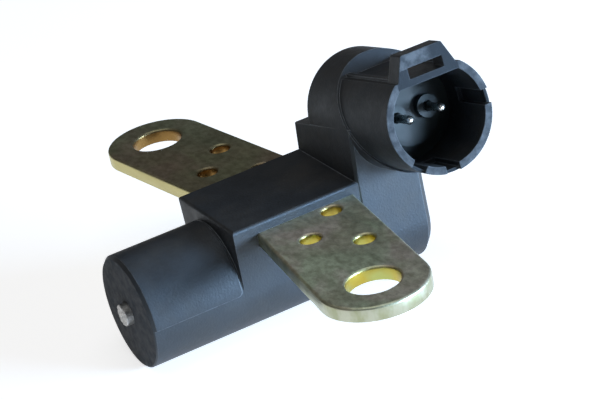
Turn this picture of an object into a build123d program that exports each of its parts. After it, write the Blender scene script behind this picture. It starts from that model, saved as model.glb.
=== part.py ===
from build123d import *
import os
from math import cos, radians, sin, tan

os.makedirs("parts", exist_ok=True)

# Crankshaft position sensor, millimetres.
# X runs through the two fixing holes, Y along the sensing axis with the tip at -Y, +Z is up.
# The origin lies midway between the fixing holes, on the underside of the bracket.

# Bracket
hole_spacing = 82.0
fixing_hole_diameter = 9.0
ear_width = 18.6
ear_sweep = 7.7
bracket_thickness = 2.5
punched_edge = 0.35
small_hole_diameter = 3.6
small_hole_places = ((13.0, 7.7), (19.6, 0.1), (27.0, 6.3))

# Nose, block and tower of the moulding
nose_diameter = 20.0
nose_reach = 27.0
nose_edge = 0.6
axis_drop = 7.4
upper_half_step = 0.3
upper_half_gap = 0.45
upper_half_corner = 0.9
block_front = 9.6
block_length = 23.9
block_top_width = 21.4
bracket_cover = 1.8
tower_depth = 12.9
tower_rear_edge = 1.2
tower_width = 21.6
tower_front_lean = 4.0
moulded_edge = 0.5

# Plug socket on top of the tower
socket_tilt = 12.0
socket_mouth_x = 24.9
socket_mouth_z = 16.8
socket_diameter = 19.5
socket_wall = 1.3
socket_depth = 13.0
socket_back_x = -5.3
collar_step = 0.45
collar_edge = 0.8
mitre_x = 10.9
mitre_z = 12.9
latch_flat_height = 7.5
latch_wall = 1.15
latch_rail_width = 0.9
latch_rail_height = 0.5
latch_rail_spacing = 9.6
bridge_depth = 3.7
bridge_top_width = 7.7
bridge_foot_width = 11.2
bridge_height = 4.2
bridge_bar = 2.3
bridge_window_width = 6.6
bridge_edge = 0.35
keyway_angles = (1.0, -92.0, -132.0)
keyway_width = 2.6
keyway_cut = 0.75
keyway_length = 9.0
rim_notch_depth = 0.7

# Contact pins and their carrier
pin_pitch = 6.1
pin_diameter = 1.5
pin_recess = 4.6
pin_tip_edge = 0.35
pin_shank_diameter = 1.9
pin_tail = 1.0
carrier_thickness = 3.0
pedestal_diameter = 11.8
pedestal_height = 1.6
pin_collar_diameter = 4.0
pin_collar_height = 1.4
pin_solder_diameter = 2.8

# Coil, magnet and leads inside the nose
pole_diameter = 4.0
pole_proud = 1.3
pole_chamfer = 0.3
pole_head_diameter = 9.0
pole_head_thickness = 2.0
nose_end_wall = 1.7
bobbin_length = 16.5
bobbin_flange_diameter = 15.6
bobbin_flange = 1.8
bobbin_rear_flange = 2.2
bobbin_hub_wall = 0.9
magnet_cup_wall = 0.8
magnet_diameter = 9.0
magnet_length = 7.0
flux_disc_thickness = 1.5
winding_diameter = 13.4
tape_thickness = 0.25
seal_section = 1.0
post_width = 0.9
post_spacing = 6.0
post_height = 6.1
post_root = 1.6
post_reach = 1.6
wire_end_width = 0.3
wire_end_offset = 0.7
solder_diameter = 2.0
solder_length = 2.0
strip_width = 1.2
strip_thickness = 0.6
strip_corner = 1.0
strip_eye_diameter = 3.2
rear_strip_riser = 25.2
rear_strip_low = 4.0
rear_strip_high = 7.5

# Clearances
fit_gap = 0.1
overlap = 0.5

# Derived values
nose_radius = nose_diameter / 2
nose_tip_y = -nose_reach
tower_front_y = block_length - block_front
tower_rear_y = tower_front_y + tower_depth
socket_radius = socket_diameter / 2
bore_radius = socket_radius - socket_wall
collar_radius = socket_radius + collar_step
cover_z = bracket_thickness + bracket_cover
block_top = axis_drop + bracket_thickness + bracket_cover
socket_y = tower_front_y + (mitre_z - cover_z) * tan(radians(tower_front_lean)) + collar_radius
tilt = radians(socket_tilt)
mouth = Vector(socket_mouth_x, socket_y, socket_mouth_z)
outward = Vector(cos(tilt), 0, sin(tilt))
socket_length = (socket_mouth_x - socket_back_x) / cos(tilt)


def section(y):
    """Plane across the sensing axis at y, with its own y pointing up."""
    return Plane(origin=(0, y, -axis_drop), x_dir=(1, 0, 0), z_dir=(0, -1, 0))


def socket_plane(depth):
    """Plane across the socket, depth behind its mouth, facing out of it."""
    return Plane(origin=mouth - outward * depth, x_dir=(0, 1, 0), z_dir=outward)


# Mounting bracket: one punched strip, both ears swept towards the nose, ends round about the fixing holes
half_spacing = hole_spacing / 2
half_ear = ear_width / 2
swept = radians(ear_sweep)
strip_mid_y = half_spacing * tan(swept)
strip_half_at_mid = half_ear / cos(swept)

with BuildPart() as mounting_bracket:
    with BuildSketch() as strip:
        with BuildLine():
            for side in (1, -1):
                front = (side * (half_spacing - half_ear * sin(swept)), -half_ear * cos(swept))
                tip = (side * (half_spacing + half_ear * cos(swept)), -half_ear * sin(swept))
                rear = (side * (half_spacing + half_ear * sin(swept)), half_ear * cos(swept))
                ThreePointArc(front, tip, rear)
                Line((0, strip_mid_y - strip_half_at_mid), front)
                Line((0, strip_mid_y + strip_half_at_mid), rear)
        make_face()
        with Locations((half_spacing, 0), (-half_spacing, 0)):
            Circle(fixing_hole_diameter / 2, mode=Mode.SUBTRACT)
        with Locations([(side * x, y) for x, y in small_hole_places for side in (1, -1)]):
            Circle(small_hole_diameter / 2, mode=Mode.SUBTRACT)
    extrude(amount=bracket_thickness)
    upper_edges = mounting_bracket.faces().sort_by(Axis.Z)[-1].edges()
    chamfer(upper_edges.filter_by(lambda edge: edge.length > 4 * small_hole_diameter), length=punched_edge)
mounting_bracket.part.label = "mounting_bracket"
export_step(mounting_bracket.part, "parts/mounting_bracket.step")


# Nose of the moulding: a round core with a rounded rim, its upper half a little proud along the parting line
with BuildPart() as parting_cut:
    with BuildSketch(Plane.YZ):
        with BuildLine():
            below = -axis_drop - nose_diameter
            above = -axis_drop + nose_diameter
            behind = -block_front + nose_radius
            gap_y = -block_front - upper_half_gap
            Polyline(
                (nose_tip_y - nose_radius, -axis_drop),
                (gap_y, -axis_drop),
                (gap_y, above),
                (behind, above),
                (behind, below),
                (nose_tip_y - nose_radius, below),
                close=True,
            )
        make_face()
        fillet(vertices().sort_by_distance((gap_y, -axis_drop))[0], radius=upper_half_corner)
    extrude(amount=nose_diameter, both=True)
    with BuildSketch(section(nose_tip_y - nose_radius)):
        Circle(nose_diameter)
        Circle(nose_radius, mode=Mode.SUBTRACT)
    extrude(amount=-(nose_reach + nose_diameter), mode=Mode.INTERSECT)

with BuildPart() as nose:
    with BuildSketch(section(nose_tip_y)):
        Circle(nose_radius + upper_half_step)
    extrude(amount=-(nose_reach - block_front + nose_edge))
    chamfer(nose.faces().sort_by(Axis.Y)[0].edges(), length=nose_edge)
    add(parting_cut.part, mode=Mode.SUBTRACT)

# Block over the bracket: flat top, sides drafted down to the round underside
with BuildPart() as block:
    with BuildSketch(section(-block_front)):
        with BuildLine():
            Polyline(
                (-nose_radius, 0),
                (-block_top_width / 2, block_top),
                (block_top_width / 2, block_top),
                (nose_radius, 0),
            )
            ThreePointArc((nose_radius, 0), (0, -nose_radius), (-nose_radius, 0))
        make_face()
    extrude(amount=-(block_length + moulded_edge))
    fillet(block.faces().sort_by(Axis.Z)[-1].edges(), radius=moulded_edge)

# Tower behind the block: front wall leaning back, half oval underside, top cut along the socket's axis
tower_half = tower_width / 2
tower_high = mitre_z + collar_radius
lean_back = (tower_high - cover_z) * tan(radians(tower_front_lean))
upward = Vector(-sin(tilt), 0, cos(tilt))

with BuildPart() as tower:
    with BuildSketch(Plane.YZ):
        with BuildLine():
            Polyline(
                (tower_front_y, -axis_drop - nose_diameter),
                (tower_front_y, cover_z),
                (tower_front_y + lean_back, tower_high),
                (tower_rear_y, tower_high),
                (tower_rear_y, -axis_drop - nose_diameter),
                close=True,
            )
        make_face()
    extrude(amount=tower_width, both=True)
    with BuildSketch(section(tower_front_y - moulded_edge)):
        with BuildLine():
            EllipticalCenterArc((0, 0), tower_half, nose_radius, start_angle=180, arc_size=180)
            Polyline(
                (tower_half, 0),
                (tower_half, axis_drop + tower_high + moulded_edge),
                (-tower_half, axis_drop + tower_high + moulded_edge),
                (-tower_half, 0),
            )
        make_face()
    extrude(amount=-(tower_depth + 2 * moulded_edge), mode=Mode.INTERSECT)
    corners = tower.edges().filter_by(
        lambda edge: abs(abs(edge.center().X) - tower_half) < fit_gap and edge.length > moulded_edge
    )
    uprights = corners.filter_by(lambda edge: abs(edge.tangent_at(0).Z) > cos(radians(2 * tower_front_lean)))
    chamfer(uprights.group_by(Axis.Y)[0], length=moulded_edge)
    chamfer(tower.faces().sort_by(Axis.Y)[-1].edges(), length=tower_rear_edge)
    split(bisect_by=Plane(origin=mouth, z_dir=upward), keep=Keep.BOTTOM)

# Collar: the round back of the socket, cut off by a mitre where the barrel leaves the tower
with BuildPart() as collar:
    with BuildSketch(socket_plane(socket_length)):
        Circle(collar_radius)
    extrude(amount=socket_length)
    chamfer(collar.faces().sort_by(Axis.X)[0].edges(), length=collar_edge)
    split(bisect_by=Plane(origin=(mitre_x, socket_y, mitre_z), z_dir=(1, 0, 1)), keep=Keep.BOTTOM)

# Barrel: flat along its top with two guide rails, and the latch bridge over the flat at the mouth
flat_length = socket_length - collar_radius / 2
rail_length = flat_length - collar_radius / 2
bridge_top = latch_flat_height + bridge_height

with BuildPart() as barrel:
    with BuildSketch(socket_plane(0)):
        Circle(socket_radius)
    extrude(amount=-(socket_length - collar_edge))
    with BuildSketch(socket_plane(0)):
        with Locations((0, latch_flat_height)):
            Rectangle(socket_diameter, socket_radius, align=(Align.CENTER, Align.MIN))
    extrude(amount=-flat_length, mode=Mode.SUBTRACT)
    with BuildSketch(socket_plane(0)):
        with Locations(*[(side * latch_rail_spacing / 2, latch_flat_height) for side in (1, -1)]):
            Rectangle(latch_rail_width, 2 * latch_rail_height)
    extrude(amount=-rail_length)
    with BuildSketch(socket_plane(0)):
        with BuildLine():
            Polyline(
                (-bridge_foot_width / 2, latch_flat_height - fit_gap),
                (-bridge_top_width / 2, bridge_top),
                (bridge_top_width / 2, bridge_top),
                (bridge_foot_width / 2, latch_flat_height - fit_gap),
                close=True,
            )
        make_face()
        fillet(vertices().group_by(Axis.Y)[-1], radius=bridge_edge)
    extrude(amount=-bridge_depth)
    with BuildSketch(socket_plane(0)):
        with Locations((0, latch_flat_height)):
            Rectangle(bridge_window_width, bridge_height - bridge_bar, align=(Align.CENTER, Align.MIN))
    extrude(amount=-bridge_depth, mode=Mode.SUBTRACT)

# Places of the pieces held inside
chamber_y = nose_tip_y + nose_end_wall
winding_y = chamber_y + bobbin_flange
bobbin_rear_y = chamber_y + bobbin_length
rear_flange_y = bobbin_rear_y - bobbin_rear_flange
magnet_y = bobbin_rear_y + pole_head_thickness
disc_y = magnet_y + magnet_length
cup_end_y = disc_y + flux_disc_thickness
post_end_y = bobbin_rear_y + post_reach
solder_y = post_end_y - solder_length / 2
chamber_end_y = solder_y + solder_length + fit_gap
pole_radius = pole_diameter / 2
pole_bore_radius = pole_radius + fit_gap
hub_radius = pole_bore_radius + bobbin_hub_wall
winding_radius = winding_diameter / 2
flange_radius = bobbin_flange_diameter / 2
cup_bore_radius = max(pole_head_diameter, magnet_diameter) / 2 + fit_gap
cup_radius = cup_bore_radius + magnet_cup_wall
post_z = post_height - axis_drop
latch_ledge = latch_flat_height - latch_wall
carrier_back = socket_depth + carrier_thickness
pin_collar_depth = socket_depth - pedestal_height - pin_collar_height
leads = ("front", "rear")
pin_y = {"front": socket_y - pin_pitch / 2, "rear": socket_y + pin_pitch / 2}
strip_x = {"front": -post_spacing / 2, "rear": post_spacing / 2}
eye_depth = {lead: (socket_mouth_x - strip_x[lead]) / cos(tilt) for lead in leads}
eye_z = {lead: socket_mouth_z - eye_depth[lead] * sin(tilt) for lead in leads}


def across_pin(lead, depth):
    """Plane across a lead's contact pin, depth behind the socket's mouth, facing out of it."""
    origin = mouth - outward * depth
    return Plane(origin=(origin.X, pin_y[lead], origin.Z), x_dir=(0, 1, 0), z_dir=outward)


def across_post(lead, y):
    """Plane across a lead's terminal post at y, facing the nose's tip."""
    return Plane(origin=(strip_x[lead], y, post_z), x_dir=(1, 0, 0), z_dir=(0, -1, 0))


def strip_corners(lead):
    """Corners of a lead strip as (y, z), from its terminal post to the tail of its contact pin."""
    start = (post_end_y, post_z)
    eye = (pin_y[lead], eye_z[lead])
    if lead == "front":
        return [start, (pin_y[lead], post_z), eye]
    return [
        start,
        (rear_strip_riser, post_z),
        (rear_strip_riser, rear_strip_low),
        (pin_y[lead], rear_strip_high),
        eye,
    ]


def strip_blank(lead, gap=0.0):
    """Flat blank of a lead strip with its eye, grown by gap on every side."""
    side = Plane(origin=(strip_x[lead], 0, 0), x_dir=(0, 1, 0), z_dir=(1, 0, 0))
    with BuildPart(mode=Mode.PRIVATE) as blank:
        with BuildSketch(side):
            with BuildLine():
                FilletPolyline(*strip_corners(lead), radius=strip_corner)
            trace(line_width=strip_width + 2 * gap)
            with Locations(strip_corners(lead)[-1]):
                Circle(strip_eye_diameter / 2 + gap)
        extrude(amount=strip_thickness / 2 + gap, both=True)
    return blank.part


# The moulding, one piece: nose, block, tower and plug socket, with the room for what it holds
with BuildPart() as moulded_body:
    add(block.part)
    add(nose.part)
    add(tower.part)
    add(collar.part)
    add(barrel.part)
    with BuildSketch(socket_plane(0)):
        Circle(bore_radius)
        with Locations((0, latch_ledge)):
            Rectangle(socket_diameter, socket_radius, align=(Align.CENTER, Align.MIN), mode=Mode.SUBTRACT)
    extrude(amount=-carrier_back, mode=Mode.SUBTRACT)
    with BuildSketch(socket_plane(0)):
        for angle in keyway_angles:
            with PolarLocations(bore_radius, 1, start_angle=angle):
                Rectangle(2 * keyway_cut, keyway_width)
    extrude(amount=-keyway_length, mode=Mode.SUBTRACT)
    with BuildSketch(socket_plane(0)):
        for angle in keyway_angles:
            with PolarLocations(socket_radius, 1, start_angle=angle):
                Rectangle(4 * socket_wall, keyway_width)
    extrude(amount=-rim_notch_depth, mode=Mode.SUBTRACT)
    add(mounting_bracket.part, mode=Mode.SUBTRACT)
    with BuildSketch(section(nose_tip_y)):
        Circle(pole_bore_radius)
    extrude(amount=-nose_end_wall, mode=Mode.SUBTRACT)
    with BuildSketch(section(chamber_y)):
        Circle(flange_radius + fit_gap)
    extrude(amount=-(chamber_end_y - chamber_y), mode=Mode.SUBTRACT)
    with BuildSketch(section(bobbin_rear_y)):
        Circle(cup_radius + fit_gap)
    extrude(amount=-(cup_end_y - bobbin_rear_y), mode=Mode.SUBTRACT)
    for lead in leads:
        add(strip_blank(lead, fit_gap), mode=Mode.SUBTRACT)
        with BuildSketch(across_pin(lead, carrier_back)):
            Circle(pin_shank_diameter / 2 + fit_gap)
        extrude(amount=-(eye_depth[lead] - carrier_back), mode=Mode.SUBTRACT)
        with BuildSketch(across_pin(lead, eye_depth[lead])):
            Circle(pin_solder_diameter / 2 + fit_gap)
        extrude(amount=-(pin_tail + fit_gap), mode=Mode.SUBTRACT)
moulded_body.part.label = "moulded_body"
export_step(moulded_body.part, "parts/moulded_body.step")

# Pole piece: a headed steel pin that stands a little out of the nose
with BuildPart() as pole_piece:
    with BuildSketch(section(nose_tip_y - pole_proud)):
        Circle(pole_radius)
    extrude(amount=-(bobbin_rear_y - nose_tip_y + pole_proud))
    chamfer(pole_piece.faces().sort_by(Axis.Y)[0].edges(), length=pole_chamfer)
    with BuildSketch(section(bobbin_rear_y)):
        Circle(pole_head_diameter / 2)
    extrude(amount=-pole_head_thickness)
pole_piece.part.label = "pole_piece"
export_step(pole_piece.part, "parts/pole_piece.step")

# Seal ring on the pole piece, between the end wall of the nose and the bobbin
with BuildPart() as pole_seal_ring:
    with BuildSketch(section(chamber_y)):
        Circle(pole_radius + seal_section)
        Circle(pole_radius, mode=Mode.SUBTRACT)
    extrude(amount=-seal_section)
pole_seal_ring.part.label = "pole_seal_ring"
export_step(pole_seal_ring.part, "parts/pole_seal_ring.step")

# Coil bobbin: hub, two flanges, a cup for the magnet and slots for the posts and wire ends
with BuildPart() as coil_bobbin:
    with BuildSketch(section(chamber_y)):
        Circle(hub_radius)
    extrude(amount=-bobbin_length)
    with BuildSketch(section(chamber_y)):
        Circle(flange_radius)
    extrude(amount=-bobbin_flange)
    with BuildSketch(section(rear_flange_y)):
        Circle(flange_radius)
    extrude(amount=-bobbin_rear_flange)
    with BuildSketch(section(bobbin_rear_y)):
        Circle(cup_radius)
    extrude(amount=-(cup_end_y - bobbin_rear_y))
    with BuildSketch(section(bobbin_rear_y)):
        Circle(cup_bore_radius)
    extrude(amount=-(cup_end_y - bobbin_rear_y), mode=Mode.SUBTRACT)
    with BuildSketch(section(chamber_y)):
        Circle(pole_bore_radius)
    extrude(amount=-bobbin_length, mode=Mode.SUBTRACT)
    with BuildSketch(section(chamber_y)):
        Circle(pole_radius + seal_section)
    extrude(amount=-seal_section, mode=Mode.SUBTRACT)
    for lead in leads:
        with BuildSketch(across_post(lead, bobbin_rear_y - post_root)):
            Rectangle(post_width, post_width)
        extrude(amount=-post_root, mode=Mode.SUBTRACT)
        with BuildSketch(across_post(lead, rear_flange_y)):
            with Locations((0, -wire_end_offset)):
                Rectangle(wire_end_width, wire_end_width)
        extrude(amount=-bobbin_rear_flange, mode=Mode.SUBTRACT)
coil_bobbin.part.label = "coil_bobbin"
export_step(coil_bobbin.part, "parts/coil_bobbin.step")

# Winding: the wound body, and both wire ends led through the rear flange to the posts
with BuildPart() as coil_winding:
    with BuildSketch(section(winding_y)):
        Circle(winding_radius)
        Circle(hub_radius, mode=Mode.SUBTRACT)
    extrude(amount=-(rear_flange_y - winding_y))
    for lead in leads:
        with BuildSketch(across_post(lead, rear_flange_y - overlap)):
            with Locations((0, -wire_end_offset)):
                Rectangle(wire_end_width, wire_end_width)
        extrude(amount=-(solder_y + 2 * overlap - rear_flange_y))
coil_winding.part.label = "coil_winding"
export_step(coil_winding.part, "parts/coil_winding.step")

# Tape round the winding
with BuildPart() as winding_tape:
    with BuildSketch(section(winding_y)):
        Circle(winding_radius + tape_thickness)
        Circle(winding_radius, mode=Mode.SUBTRACT)
    extrude(amount=-(rear_flange_y - winding_y))
winding_tape.part.label = "winding_tape"
export_step(winding_tape.part, "parts/winding_tape.step")

# Magnet behind the pole piece, and the disc that closes its rear end
with BuildPart() as bar_magnet:
    with BuildSketch(section(magnet_y)):
        Circle(magnet_diameter / 2)
    extrude(amount=-magnet_length)
bar_magnet.part.label = "bar_magnet"
export_step(bar_magnet.part, "parts/bar_magnet.step")

with BuildPart() as flux_disc:
    with BuildSketch(section(disc_y)):
        Circle(magnet_diameter / 2)
    extrude(amount=-flux_disc_thickness)
flux_disc.part.label = "flux_disc"
export_step(flux_disc.part, "parts/flux_disc.step")

# Pin carrier: the socket's floor, with a raised pedestal and a collar round each pin
with BuildPart() as pin_carrier:
    with BuildSketch(socket_plane(socket_depth)):
        Circle(bore_radius)
        with Locations((0, latch_ledge)):
            Rectangle(socket_diameter, socket_radius, align=(Align.CENTER, Align.MIN), mode=Mode.SUBTRACT)
    extrude(amount=-carrier_thickness)
    with BuildSketch(socket_plane(socket_depth)):
        Circle(pedestal_diameter / 2)
    extrude(amount=pedestal_height)
    for lead in leads:
        with BuildSketch(across_pin(lead, socket_depth - pedestal_height)):
            Circle(pin_collar_diameter / 2)
        extrude(amount=pin_collar_height)
    for lead in leads:
        with BuildSketch(across_pin(lead, pin_collar_depth)):
            Circle(pin_shank_diameter / 2)
        extrude(amount=-(carrier_back - pin_collar_depth), mode=Mode.SUBTRACT)
pin_carrier.part.label = "pin_carrier"
export_step(pin_carrier.part, "parts/pin_carrier.step")

# One of each for either lead, from the terminal post to the contact pin
for lead in leads:
    with BuildPart() as terminal_post:
        with BuildSketch(across_post(lead, bobbin_rear_y - post_root)):
            Rectangle(post_width, post_width)
        extrude(amount=-(post_root + post_reach))
    terminal_post.part.label = f"terminal_post_{lead}"
    export_step(terminal_post.part, f"parts/terminal_post_{lead}.step")

    with BuildPart() as contact_pin:
        with BuildSketch(across_pin(lead, pin_recess)):
            Circle(pin_diameter / 2)
        extrude(amount=-(pin_collar_depth - pin_recess))
        chamfer(contact_pin.faces().sort_by(Axis.X)[-1].edges(), length=pin_tip_edge)
        with BuildSketch(across_pin(lead, pin_collar_depth)):
            Circle(pin_shank_diameter / 2)
        extrude(amount=-(eye_depth[lead] + pin_tail - pin_collar_depth))
    contact_pin.part.label = f"contact_pin_{lead}"
    export_step(contact_pin.part, f"parts/contact_pin_{lead}.step")

    with BuildPart() as lead_strip:
        add(strip_blank(lead))
        add(contact_pin.part, mode=Mode.SUBTRACT)
    lead_strip.part.label = f"lead_strip_{lead}"
    export_step(lead_strip.part, f"parts/lead_strip_{lead}.step")

    with BuildPart() as post_solder:
        with BuildSketch(across_post(lead, solder_y)):
            Circle(solder_diameter / 2)
        extrude(amount=-solder_length)
        add(terminal_post.part, mode=Mode.SUBTRACT)
        add(lead_strip.part, mode=Mode.SUBTRACT)
        add(coil_winding.part, mode=Mode.SUBTRACT)
    post_solder.part.label = f"post_solder_{lead}"
    export_step(post_solder.part, f"parts/post_solder_{lead}.step")

    with BuildPart() as pin_solder:
        with BuildSketch(across_pin(lead, eye_depth[lead] + fit_gap)):
            Circle(pin_solder_diameter / 2)
        extrude(amount=-(pin_tail - fit_gap))
        add(contact_pin.part, mode=Mode.SUBTRACT)
        add(lead_strip.part, mode=Mode.SUBTRACT)
    pin_solder.part.label = f"pin_solder_{lead}"
    export_step(pin_solder.part, f"parts/pin_solder_{lead}.step")
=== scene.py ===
import math

import bmesh
import bpy
from bpy.props import FloatProperty, FloatVectorProperty, PointerProperty
from mathutils import Matrix, Vector, noise


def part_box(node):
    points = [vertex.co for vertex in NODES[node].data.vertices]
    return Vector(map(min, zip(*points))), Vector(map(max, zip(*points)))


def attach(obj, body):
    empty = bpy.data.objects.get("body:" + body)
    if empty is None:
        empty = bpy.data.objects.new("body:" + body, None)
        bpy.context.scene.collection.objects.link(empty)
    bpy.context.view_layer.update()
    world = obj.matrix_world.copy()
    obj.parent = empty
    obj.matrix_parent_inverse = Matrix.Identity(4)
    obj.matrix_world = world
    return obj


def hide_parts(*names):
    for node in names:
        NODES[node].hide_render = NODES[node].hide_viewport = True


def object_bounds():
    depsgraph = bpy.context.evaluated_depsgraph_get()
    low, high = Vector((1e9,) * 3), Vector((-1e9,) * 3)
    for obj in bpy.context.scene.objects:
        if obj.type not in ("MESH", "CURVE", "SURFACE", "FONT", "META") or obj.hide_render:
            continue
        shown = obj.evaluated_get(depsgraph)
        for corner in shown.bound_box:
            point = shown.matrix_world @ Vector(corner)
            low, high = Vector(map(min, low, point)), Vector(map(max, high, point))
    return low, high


bl_info = {
    "name": "Crankshaft position sensor",
    "version": (1, 0, 0),
    "blender": (4, 5, 0),
    "location": "View3D > Sidebar > Sensor",
    "description": "Finishes, small details and studio for a crankshaft position sensor",
    "category": "Object",
}

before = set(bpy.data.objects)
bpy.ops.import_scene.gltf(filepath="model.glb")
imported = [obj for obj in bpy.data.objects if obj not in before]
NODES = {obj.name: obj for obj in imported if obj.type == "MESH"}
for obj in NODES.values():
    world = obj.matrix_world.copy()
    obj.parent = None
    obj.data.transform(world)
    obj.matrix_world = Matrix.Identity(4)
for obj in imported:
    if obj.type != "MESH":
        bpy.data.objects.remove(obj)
CAD_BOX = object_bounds()
MM = 0.001
WHITE = (1.0, 1.0, 1.0)

# The plug socket leans up by this angle from the bracket's plane. A face is square to it where
# the cosine between their directions is over the last value.
SOCKET_TILT = math.radians(12)
SOCKET_AXIS = Vector((math.cos(SOCKET_TILT), 0, math.sin(SOCKET_TILT)))
SOCKET_UP = Vector((-math.sin(SOCKET_TILT), 0, math.cos(SOCKET_TILT)))
SQUARE_TO_SOCKET = math.cos(math.radians(5))

# Strip: centres of the small holes on one ear, steps of its curves, the distance within which
# its points are welded, and how upright the normal of a level face is at least
SMALL_HOLES = ((13.0 * MM, 7.7 * MM), (19.6 * MM, 0.1 * MM), (27.0 * MM, 6.3 * MM))
EAR_STEPS = 60
HOLE_STEPS = 72
ROLL_STEPS = 5
BURR_STEPS = 2
WELD = 0.002 * MM
LEVEL = 0.9999

# Contact pins: steps along and around them. The length of the round tip and its room in the
# pin's box are shares of the pin's diameter, and its flat end is a share of its radius.
PIN_RINGS = 240
PIN_STEPS = 36
TIP_LENGTH = 0.45
TIP_ROOM = 0.25
TIP_FLAT = 0.25

# Pole piece: steps around it, rings of its end face, and then rings as shares of its radius and
# distances from that face
POLE_STEPS = 48
POLE_FACE_RINGS = 11
POLE_END = ((0.96, 0.06 * MM), (1.0, 0.2 * MM), (1.0, 0.5 * MM), (1.0, 1.4 * MM))
SHARP_ANGLE = math.radians(14)

# The saw's marks on that end: how far back they go, how far they lower a point, the share by
# which they draw it in, and how many fine and coarse ones fit in a metre
ROUGH_LENGTH = 0.9 * MM
ROUGH_RISE = 0.22 * MM
ROUGH_PULL = 0.12
FINE_MARKS = 1700
COARSE_MARKS = 450
MARKS_OFFSET = Vector((7, 3, 1))

# Materials: roughness of dull faces, samples of the rounded normal, length of a wave at scale 1
DULL_ROUGHNESS = 0.95
EDGE_SAMPLES = 8
WAVE_LENGTH = math.pi / 10

# Studio: places and sizes in metres, the camera's angles in degrees and its sensor in millimetres
FLOOR_REACH = 6.0
FLOOR_ROUGHNESS = 0.8
HORIZON_TOP = 0.16
KEY_PLACE = (0.44, 0.38, 0.07)
KEY_SIZE = (0.34, 0.16)
FILL_PLACE = (0.10, -0.10, 0.70)
FILL_SIZE = (0.7, 0.7)
CAMERA_PLACE = (0.36156, -0.14468, 0.17866)
CAMERA_AZIMUTH = 67.0937
CAMERA_ELEVATION = 24.4697
CAMERA_ROLL = 12.4543
CAMERA_CLIP = (0.01, 20.0)
SENSOR_WIDTH = 36.0


# Settings

class MouldingSettings(bpy.types.PropertyGroup):
    """Colours and places of the black housing's finish"""
    colour: FloatVectorProperty(
        name="Moulding colour", description="Colour of the black housing", subtype="COLOR",
        min=0, max=1, default=(0.008, 0.0085, 0.010))
    dull_colour: FloatVectorProperty(
        name="Dull patches", description="Colour where the black surface has greyed",
        subtype="COLOR", min=0, max=1, default=(0.018, 0.019, 0.021))
    warm_colour: FloatVectorProperty(
        name="Warm patches", description="Colour where the black surface has browned",
        subtype="COLOR", min=0, max=1, default=(0.024, 0.020, 0.016))
    # Pale colour of the edges: partly rubbed wear, partly painted highlight
    edge_wear_and_highlight: FloatVectorProperty(
        name="Rubbed edges", description="Colour where edges are rubbed", subtype="COLOR",
        min=0, max=1, default=(0.16, 0.175, 0.19))
    # Painted shade: the faces square to the socket are darkened by this black and its share
    socket_shade_colour: FloatVectorProperty(
        name="Socket faces", description="Darker black of the faces square to the socket",
        subtype="COLOR", min=0, max=1, default=(0.003, 0.003, 0.0035))
    socket_shade_share: FloatProperty(
        name="Socket darkening", description="Share of the darker black on the socket's faces",
        subtype="FACTOR", min=0, max=1, default=0.75)
    # Pale rim at the socket's mouth: partly rubbed wear, partly painted highlight
    rim_wear_and_highlight: FloatVectorProperty(
        name="Rubbed mouth", description="Pale grey of the rubbed rim of the socket",
        subtype="COLOR", min=0, max=1, default=(0.072, 0.073, 0.076))
    end_colour: FloatVectorProperty(
        name="End colour", description="Grey of the ground end face of the nose",
        subtype="COLOR", min=0, max=1, default=(0.085, 0.081, 0.078))
    shine: FloatProperty(
        name="Shine", description="Strength of the mirrored light on the moulded skin",
        subtype="FACTOR", min=0, max=1, default=0.84)
    shine_tint: FloatVectorProperty(
        name="Shine tint", description="Cold tint of the mirrored light on the moulded skin",
        subtype="COLOR", min=0, max=1, default=(0.76, 0.88, 1.0))
    roughness: FloatProperty(
        name="Roughness", description="Mean roughness of the moulded skin", subtype="FACTOR",
        min=0, max=1, default=0.58)
    grain: FloatProperty(
        name="Grain", description="Size of the fine moulded grain", subtype="DISTANCE",
        unit="LENGTH", min=0.05 * MM, max=5 * MM, default=0.4 * MM)
    end_face: FloatProperty(
        name="Dull end", description="Plane in front of which the end of the nose is dull",
        subtype="DISTANCE", unit="LENGTH", default=-26.95 * MM)
    socket_from: FloatProperty(
        name="Socket from", description="Plane behind which the socket and its collar begin",
        subtype="DISTANCE", unit="LENGTH", default=12.0 * MM)
    mouth: FloatProperty(
        name="Mouth", description="Distance of the socket's mouth from the origin along its axis",
        subtype="DISTANCE", unit="LENGTH", default=27.8 * MM)
    latch_wall: FloatProperty(
        name="Latch wall",
        description="Height of the wall under the latch bridge, square to the socket's axis",
        subtype="DISTANCE", unit="LENGTH", default=17.5 * MM)
    latch_bar: FloatProperty(
        name="Latch bar",
        description="Height of the latch bridge's bar, square to the socket's axis",
        subtype="DISTANCE", unit="LENGTH", default=20.6 * MM)
    latch_width: FloatProperty(
        name="Latch width", description="Width of the latch bridge at its feet",
        subtype="DISTANCE", unit="LENGTH", min=5 * MM, max=20 * MM, default=11.6 * MM)
    edge: FloatProperty(
        name="Edge rounding", description="Rounding of the housing's edges",
        subtype="DISTANCE", unit="LENGTH", min=0, max=0.5 * MM, default=0.3 * MM)


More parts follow.
